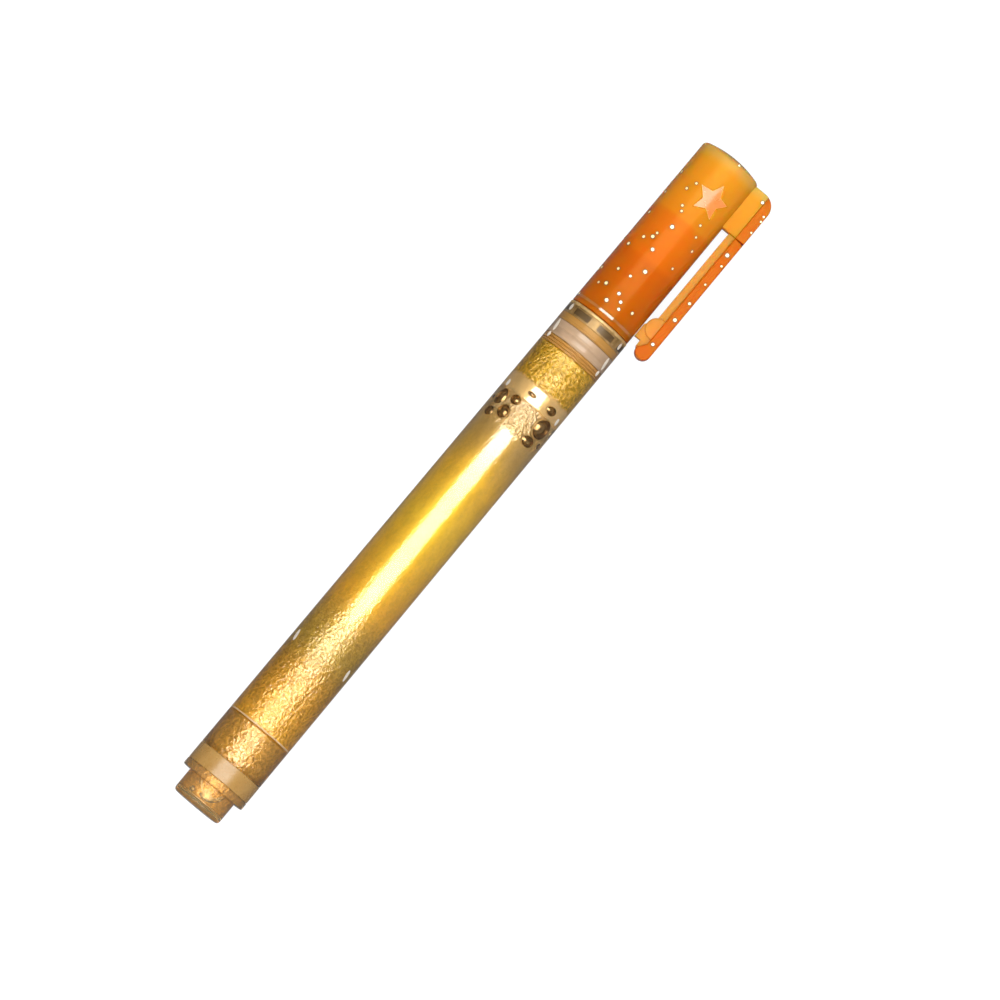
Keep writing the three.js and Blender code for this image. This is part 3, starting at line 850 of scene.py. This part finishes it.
def cap_outline():
    """The cap's section as (x, r, rounding): its bore from the middle of the roof, then its outside from
    the mouth over the domed end, with close rows of points where the star is."""
    corner = 0.65
    shoulder = CAP_END - 1.4
    margin, row = 0.3, 0.09
    bore = [
        (CAP_ROOF, 0), (CAP_ROOF, cap_r(CAP_ROOF) - CAP_WALL, 0.8),
        (CAP_START, CAP_MOUTH_R - CAP_WALL, 0.12),
    ]
    star_from, star_to = STAR_X - STAR_R - margin, STAR_X + STAR_R + margin
    rows = round((star_to - star_from) / row)
    places = [lerp(CAP_START + 1, star_from, i / 16) for i in range(16)]
    places += [lerp(star_from, star_to, i / rows) for i in range(rows + 1)]
    outside = [(CAP_START, CAP_MOUTH_R, 0.2)] + [(x, cap_r(x), 0) for x in places]
    outside += [(x, r, 0) for x, r in arc(shoulder, cap_r(shoulder) - corner, corner, 90, 12, 6)]
    foot_x, foot_r, _ = outside[-1]
    outside += [(lerp(CAP_END, foot_x, u * u), foot_r * u, 0) for u in (0.9, 0.75, 0.6, 0.45, 0.3, 0.15)]
    return bore, outside + [(CAP_END, 0, 0)]


def cap_body():
    """The turned shell with the star pressed into it."""
    sides, star_turn = 320, 42
    bore, outside = cap_outline()
    points = [tuple(p) for p in rounded(bore + outside[:2], 0.12, False)][:-1]
    last_inner = len(points) - 1
    points += [p[:2] for p in outside[1:]]
    bm = bmesh.new()
    rings = []
    for i, (x, r) in enumerate(points):
        if r < ON_AXIS:
            rings.append([bm.verts.new(at(x, 0))])
            continue
        row = []
        for k in range(sides):
            angle = 360 * k / sides
            near_star = i > last_inner and abs(angle - STAR_ANGLE) < star_turn
            sunk = star_depth(x, angle, r) if near_star else 0
            row.append(bm.verts.new(at(x, r - sunk, angle)))
        rings.append(row)
    skin(bm, rings)
    return finished(bm, "cap_shell_body", 50)


def cap_shell():
    """The cap with the block that carries the clip, the darker plastic over that block, and the fine line
    round the cap's mouth."""
    middle = CLIP_OUT - CLIP_ROUNDING
    split = math.degrees(math.asin((BLADE_IN - middle) / CLIP_ROUNDING))
    block_depth = 0.6
    foot_r = cap_r(BLOCK_START) - block_depth
    block = slab("clip_block", [
        (BLOCK_START, foot_r), (BLOCK_END, foot_r),
        *arc(BLOCK_END - CLIP_ROUNDING, middle, CLIP_ROUNDING, 0, split, 3), (BLOCK_START, BLADE_IN),
    ], CLIP_WIDTH, 0.1)
    link("cap_orange", joined(cap_body(), block), "cap", ORANGE, ["cap_shell"])
    spine = slab("clip_spine", [
        (BLOCK_START, BLADE_IN), *arc(BLOCK_END - CLIP_ROUNDING, middle, CLIP_ROUNDING, split, 90, 8),
        (BLOCK_START, CLIP_OUT),
    ], CLIP_WIDTH, 0.18)
    link("clip_spine", spine, "cap", CLIP_BLADE)
    line_start, line_end = 104.1, 104.6
    depth, rise = 0.2, 0.015
    r = cap_r((line_start + line_end) / 2)
    line = ring("cap_mouth_line", line_start, line_end, r - depth, r + rise, 0.03)
    link("cap_mouth_line", line, "cap", MOUTH_LINE)


def clip_blade():
    """The clip's flat outer blade. Its root slopes so that it clears the block when the clip opens."""
    root = BLOCK_START - ROOT_GAP
    slope = 0.3
    tip_r = 1.4
    blade = slab("clip_blade", [
        (CLIP_START + 2 * tip_r, BLADE_IN), (root, BLADE_IN), (root - slope, CLIP_OUT),
        *arc(CLIP_START + tip_r, CLIP_OUT - tip_r, tip_r, 90, 270, 14),
    ], CLIP_WIDTH, 0.25)
    link("clip_blade", blade, "clip", CLIP_BLADE, ["clip_arm"])


def clip_web():
    """The narrow web under the blade, with a foot that reaches down to the cap and a round boss."""
    root = BLOCK_START - ROOT_GAP
    foot_r = CAP_MOUTH_R + FIT
    foot_start, foot_end = 105.1, 107.6
    heel_x, heel_r = CLIP_START + 1.8, 0.95
    notch_x, notch_r = 108.4, 0.75
    notch_end = 109.4
    boss_x, boss_r = 108.1, 1.95
    under_blade = BLADE_IN + 0.1
    web = slab("clip_web", [
        (foot_start, foot_r), (foot_end, foot_r), *arc(notch_x, WEB_IN + 0.1, notch_r, 240, 300, 4)[1:],
        (notch_end, WEB_IN), (root, WEB_IN), (root, under_blade), (CLIP_START + 1, under_blade),
        *arc(heel_x, WEB_IN + heel_r, heel_r, 180, 270, 6), (foot_start, WEB_IN),
    ], 1.6, 0.15)
    boss = slab("clip_boss", arc(boss_x, BLADE_IN - 0.3, boss_r, 0, 345, 23), 2.4, 0.25)
    link("clip_web", joined(web, boss), "clip", CLIP_WEB)


def inner_cap():
    """The liner inside the cap, and the soft pad in it that the writing ball faces."""
    x0, x1, r = LINER
    roof = x1 - 0.7
    roof_r, band_r, mouth_r = 3.6, 3.65, 4.25
    mesh = turned("liner_body", [
        (roof, 0), (roof, roof_r, 0.3), (BAND[1], band_r), (x0, mouth_r), (x0, r), (x1, r), (x1, 0),
    ], radius=0.1)
    link("liner_orange", mesh, "cap", LINER_ORANGE, ["inner_cap"])
    x0, x1, r = PAD
    mesh = turned("pad_body", [(x0, 0), (x0, r), (x1, r), (x1, 0)])
    link("seal_pad_frosted", mesh, "cap", FROSTED, ["seal_pad"])


# ---- glitter in the orange plastic ----
FLAKE_HALF_THICK = 0.015
# A bright flake, painted bright as its glint, lies FLAKE_LIFT over a dark one, which is painted shade,
# is wider by the factor below and shows as its outline.
FLAKE_LIFT = 0.03
FLAKE_SHADE_SCALE = 1.6


def flake(bm, centre, normal, size, material_index, turn):
    """A six-sided flake with a thin edge."""
    side = normal.cross(Vector((1, 0, 0))).normalized()
    other = normal.cross(side)
    thick = normal * (FLAKE_HALF_THICK * MM)
    top, bottom = [], []
    for k in range(6):
        a = turn + k * math.pi / 3
        p = centre + (side * math.cos(a) + other * math.sin(a)) * (size / 2 * MM)
        top.append(bm.verts.new(p + thick))
        bottom.append(bm.verts.new(p - thick))
    faces = [bm.faces.new(top), bm.faces.new(list(reversed(bottom)))]
    for k in range(6):
        n = (k + 1) % 6
        faces.append(bm.faces.new((top[k], bottom[k], bottom[n], top[n])))
    for face in faces:
        face.material_index = material_index


# A bright flake with its painted glint over a wider dark flake of painted shade.
def flake_over_painted_shade(bm, here, normal, bright_normal, size, turn):
    flake(bm, here + normal * (FLAKE_LIFT * MM), bright_normal, size, 0, turn)
    flake(bm, here, normal, size * FLAKE_SHADE_SCALE, 1, turn)


def glitter(name, places, body):
    """Flakes at (x, r, angle, size) places, each painted bright as its glint over a dark flake of painted
    shade. The bright ones lean a little, each its own way.
    """
    dice = random.Random(11)
    bm = bmesh.new()
    for x, r, angle, size in places:
        here = at(x, r, angle)
        normal = (here - at(x, 0)).normalized()
        lean = Vector((dice.uniform(-0.15, 0.15) for _ in range(3)))
        turn = dice.uniform(0, math.pi)
        flake_over_painted_shade(bm, here, normal, (normal + lean * 0.3).normalized(), size, turn)
    mesh = finished(bm, name + "_flakes", 20)
    link(name, mesh, body, [GLITTER_PAINTED_GLINT, GLITTER_PAINTED_SHADE])


# Flakes on the side of the cap that the camera sees, as (x, angle, size).
NEAR_FLAKES = (
    (108.3, 124, 0.62), (106.1, 104, 0.6), (108.2, 95, 0.5), (107.3, 84, 0.5), (106.2, 79, 0.46),
    (107.2, 56, 0.52), (107.7, 138, 0.4), (111.4, 124, 0.5), (111.6, 99, 0.4), (113.7, 85, 0.6),
    (115.8, 143, 0.56), (117.3, 99, 0.55), (117.1, 51, 0.42), (118.1, 126, 0.52), (119.0, 113, 0.62),
    (119.9, 111, 0.42), (121.4, 42, 0.46), (122.2, 98, 0.62), (123.5, 55, 0.4), (125.4, 63, 0.42),
    (125.2, 103, 0.42), (126.0, 108, 0.45), (128.7, 122, 0.48), (130.3, 114, 0.46), (137.0, 78, 0.34),
)
# Flakes on the side of the clip, as (x, r, size).
CLIP_FLAKES = (
    (105.8, 9.05, 0.5), (111.2, 9.3, 0.55), (114.8, 9.4, 0.45), (118.9, 9.4, 0.3), (122.9, 9.5, 0.32),
    (124.9, 9.1, 0.6), (130.3, 9.75, 0.3), (132.7, 9.8, 0.32), (133.6, 9.65, 0.32), (135.3, 8.0, 0.5),
)
DEEP_FLAKES = 14
FAR_FLAKES = 60


def cap_glitter():
    """Flakes on the near side of the cap, a few deeper ones there, and scattered ones on its far side."""
    dice = random.Random(5)
    places = [(x, cap_r(x), angle, size) for x, angle, size in NEAR_FLAKES]
    for _ in range(DEEP_FLAKES):
        x = dice.uniform(CAP_START + 1, CAP_END - 3)
        places.append((x, cap_r(x) - 0.35, dice.uniform(35, 145), dice.uniform(0.3, 0.42)))
    for _ in range(FAR_FLAKES):
        x = dice.uniform(CAP_START + 1, CAP_END - 3)
        places.append((x, cap_r(x), dice.uniform(155, 345), dice.uniform(0.34, 0.6)))
    glitter("cap_glitter", places, "cap")


def clip_glitter():
    """Flakes in both sides of the clip, on the arm and on the block that carries it."""
    dice = random.Random(8)
    for name, body, low, high in (
        ("clip_glitter", "clip", CLIP_START, BLOCK_START), ("block_glitter", "cap", BLOCK_START, BLOCK_END),
    ):
        bm = bmesh.new()
        for side in (1, -1):
            for x, r, size in CLIP_FLAKES:
                place = x if side > 0 else dice.uniform(low + 1, high - 1)
                if low <= place <= high:
                    normal = SIDE * side
                    here = at(place, r) + normal * (CLIP_WIDTH / 2 * MM)
                    flake_over_painted_shade(bm, here, normal, normal, size, dice.uniform(0, math.pi))
        mesh = finished(bm, name + "_flakes", 20)
        link(name, mesh, body, [GLITTER_PAINTED_GLINT, GLITTER_PAINTED_SHADE])


def star_face():
    """The star's own face and a painted highlight along its edge."""
    spokes = 100
    bands = (0.0, 0.3, 0.6, 0.93, 1.0)
    lift = 0.03
    bm = bmesh.new()
    rows = []
    for band in bands:
        row = []
        for k in range(spokes):
            a = 2 * math.pi * k / spokes
            reach = star_reach(a) * band
            x = STAR_X + reach * math.cos(a)
            angle = STAR_ANGLE + math.degrees(reach * math.sin(a) / cap_r(x))
            row.append(bm.verts.new(at(x, cap_r(x) - STAR_DEPTH + lift, angle)))
        rows.append(row)
    for i, (a, b) in enumerate(zip(rows, rows[1:])):
        for k in range(spokes):
            n = (k + 1) % spokes
            bm.faces.new((a[k], b[k], b[n], a[n])).material_index = 1 if i == len(bands) - 2 else 0
    mesh = finished(bm, "star_face", 60)
    link("star_face", mesh, "cap", [STAR_FACE, STAR_EDGE_HIGHLIGHT])


# ---- the set ----
# How bright the floor looks to the camera, and how much light it gives to the pen.
FLOOR_SEEN = 0.9
FLOOR_LIGHT = 0.05
FLOOR_HALF = 1.5
# The colour that the world gives to the pen; the camera sees it white.
WORLD_LIGHT = (0.18, 0.155, 0.125, 1)
WORLD_SEEN = (1, 1, 1, 1)


def floor_material():
    """A floor that shows white and lights the pen's underside only a little."""
    n = Nodes("floor")
    grey = n.ramp(n.noise(3, 3, 0.5), [(0.3, (0.12, 0.12, 0.12)), (0.7, (0.14, 0.14, 0.14))])
    n.link(grey, n.shader.inputs["Base Color"])
    n.set(Roughness=0.9, Emission_Color=(1, 1, 1, 1))
    seen = n.new("ShaderNodeLightPath").outputs["Is Camera Ray"]
    n.link(n.range(seen, 0, 1, FLOOR_LIGHT, FLOOR_SEEN), n.shader.inputs["Emission Strength"])
    return n.material


def floor():
    bm = bmesh.new()
    corners = [(x * FLOOR_HALF, y * FLOOR_HALF, 0) for x, y in ((-1, -1), (1, -1), (1, 1), (-1, 1))]
    bm.faces.new([bm.verts.new(corner) for corner in corners])
    mesh = bpy.data.meshes.new("floor")
    bm.to_mesh(mesh)
    bm.free()
    mesh.materials.append(floor_material())
    add("floor", mesh)


# The camera looks at the pen square to its clip, with the cap end a little further away. In its picture
# the pen rises by ROLL degrees. DISTANCE is in metres, and the others are in millimetres: the width that
# the picture takes in, the place on the pen that the camera looks at, and how far to the right of it and
# below it the middle of the picture is.
VIEW_DEPTH = 0.08
ROLL = 50.2
DISTANCE = 1.3
VIEW_WIDTH = 163.4
LOOK_X = 73.1
SHIFT_RIGHT = 2.9
SHIFT_DOWN = 6.1
SENSOR = 36

# One wide strip of light behind the camera: its distance and its length in metres, how many degrees it
# reaches to each side of the camera's direction as seen from the pen, and its brightness.
STRIP_DISTANCE = 1.5
STRIP_LENGTH = 1.6
STRIP_REACH = 28.8
STRIP_RADIANCE = 7.5


def aimed(name, data, x, y, z, place):
    """A camera or a light at a place, with its own axes along x, y and z; it looks along minus z."""
    obj = add(name, data)
    matrix = Matrix((x, y, z)).transposed().to_4x4()
    matrix.translation = place
    obj.matrix_world = matrix
    return obj


def camera():
    """The camera; gives back its direction and the direction along the pen square to it."""
    forward = Vector((VIEW_DEPTH, 0, 0)) - SIDE * math.sqrt(1 - VIEW_DEPTH**2)
    along = OUT.cross(forward).normalized()
    if along.x < 0:
        along.negate()
    roll = math.radians(ROLL)
    right = along * math.cos(roll) + OUT * math.sin(roll)
    up = along * math.sin(roll) - OUT * math.cos(roll)
    data = bpy.data.cameras.new("camera")
    data.sensor_width = SENSOR
    data.lens = SENSOR * DISTANCE / (VIEW_WIDTH * MM)
    data.clip_start = 0.05
    data.clip_end = 20
    target = at(LOOK_X, 0) + right * (SHIFT_RIGHT * MM) - up * (SHIFT_DOWN * MM)
    bpy.context.scene.camera = aimed("camera", data, right, up, -forward, target - forward * DISTANCE)
    return forward, along


def light(forward, along):
    """The strip of light behind the camera, with its length along the pen."""
    width = 2 * STRIP_DISTANCE * math.tan(math.radians(STRIP_REACH))
    data = bpy.data.lights.new("strip", "AREA")
    data.shape = "RECTANGLE"
    data.size = STRIP_LENGTH
    data.size_y = width
    data.energy = STRIP_RADIANCE * math.pi * STRIP_LENGTH * width
    place = at(CAP_END / 2, 0) - forward * STRIP_DISTANCE
    aimed("strip", data, along, along.cross(forward), -forward, place)


def world():
    """Even light all round the pen, which the camera sees as white."""
    scene_world = bpy.data.worlds.new("world")
    bpy.context.scene.world = scene_world
    scene_world.use_nodes = True
    tree = scene_world.node_tree
    path = tree.nodes.new("ShaderNodeLightPath")
    mix = tree.nodes.new("ShaderNodeMix")
    mix.data_type = "RGBA"
    # Sockets 6 and 7 of the node are its colours, for a factor of 0 and of 1.
    mix.inputs[6].default_value = WORLD_LIGHT
    mix.inputs[7].default_value = WORLD_SEEN
    tree.links.new(path.outputs["Is Camera Ray"], mix.inputs[0])
    tree.links.new(mix.outputs[2], tree.nodes["Background"].inputs["Color"])


def colours_and_bounces():
    """Plain colours, and enough bounces for light to pass through all the clear walls."""
    scene = bpy.context.scene
    scene.view_settings.view_transform = "Standard"
    scene.cycles.max_bounces = 24
    scene.cycles.transmission_bounces = 24
    scene.cycles.glossy_bounces = 8


rear_plug()
rear_seal()
barrel()
ink()
bubbles()
edge_gap_highlights()
plug_bubble()
front_holder()
front_seal()
collar()
feed()
nose()
tip_holder()
tip_tube()
ball("writing_ball_carbide", BALL, "writing_ball", CARBIDE)
ball("check_ball_steel", CHECK_BALL, "check_ball", STEEL)
cage_and_spring()
cap_shell()
star_face()
clip_blade()
clip_web()
inner_cap()
cap_glitter()
clip_glitter()
floor()
light(*camera())
world()
colours_and_bounces()
